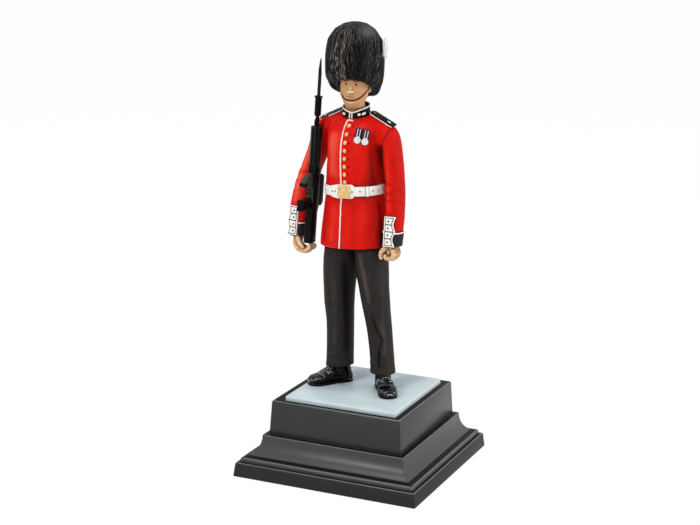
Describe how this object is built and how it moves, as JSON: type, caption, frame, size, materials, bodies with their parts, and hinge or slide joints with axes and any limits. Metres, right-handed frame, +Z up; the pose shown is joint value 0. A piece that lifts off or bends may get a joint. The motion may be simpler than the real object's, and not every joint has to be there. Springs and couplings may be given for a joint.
{
  "type": "toy soldier figure",
  "caption": "Painted display figure of a parade guardsman in a red tunic and tall fur cap, shouldering a rifle with fixed bayonet, standing on a stone slab and a stepped black plinth.",
  "frame": {"origin": "centre of the plinth's underside, on the surface it stands on", "axes": "+Z up, the figure faces -Y, +X is the figure's left"},
  "size_m": [0.07, 0.07, 0.1596],
  "materials": {
    "plinth_black": "satin black paint",
    "slab_stone": "matt pale blue-grey paint with lighter edges",
    "shoe_black": "high-gloss black paint",
    "trouser_charcoal": "matt charcoal paint with brown-grey highlights",
    "tunic_red": "satin-matt scarlet paint, shaded in the folds",
    "trim_white": "matt white paint",
    "plume_white": "matt white paint",
    "trim_gilt": "gilt paint",
    "trim_black": "satin black paint",
    "medal_silver": "silver paint",
    "flesh": "matt flesh paint",
    "fur_black": "dry-brushed black paint",
    "rifle_black": "satin black paint",
    "rifle_green": "matt grey-green paint",
    "blade_steel": "dark steel paint"
  },
  "bodies": {
    "plinth": {"plinth_foot": "plinth_black", "plinth_cove": "plinth_black", "plinth_block": "plinth_black"},
    "slab": {"paving_slab": "slab_stone"},
    "bayonet": {"bayonet_hilt": "rifle_black", "bayonet_blade": "blade_steel"},
    "figure": {"right_shoe": "shoe_black", "left_shoe": "shoe_black", "right_leg": "trouser_charcoal", "left_leg": "trouser_charcoal", "tunic_skirt": "tunic_red", "tunic_chest": "tunic_red", "skirt_piping": "trim_white", "front_piping": "trim_white", "front_buttons": "trim_gilt", "belt": "trim_white", "belt_buckle": "trim_gilt", "belt_keeper": "trim_white", "collar": "trim_black", "right_epaulette": "trim_black", "left_epaulette": "trim_black", "medals": "medal_silver", "right_sleeve": "tunic_red", "left_sleeve": "tunic_red", "right_cuff": "trim_black", "left_cuff": "trim_black", "right_cuff_slash": "trim_white", "left_cuff_slash": "trim_white", "right_cuff_buttons": "trim_gilt", "left_cuff_buttons": "trim_gilt", "right_hand": "flesh", "left_hand": "flesh", "head": "flesh", "chin_chain": "trim_gilt", "bearskin": "fur_black", "plume": "plume_white", "rifle_receiver": "rifle_black", "rifle_handguard": "rifle_black", "rifle_barrel": "rifle_black", "rifle_grip": "rifle_green", "rifle_magazine": "rifle_black", "rifle_sight": "rifle_black"}
  },
  "joints": [
    {"name": "slab_lift", "type": "slide", "parent": "plinth", "child": "slab", "axis": [0, 0, 1], "range_m": [0, 0.006]},
    {"name": "figure_lift", "type": "slide", "parent": "slab", "child": "figure", "axis": [0, 0, 1], "range_m": [0, 0.006]},
    {"name": "bayonet_lift", "type": "slide", "parent": "figure", "child": "bayonet", "axis": [0.0633, -0.0154, 0.9979], "range_m": [0, 0.009]}
  ]
}
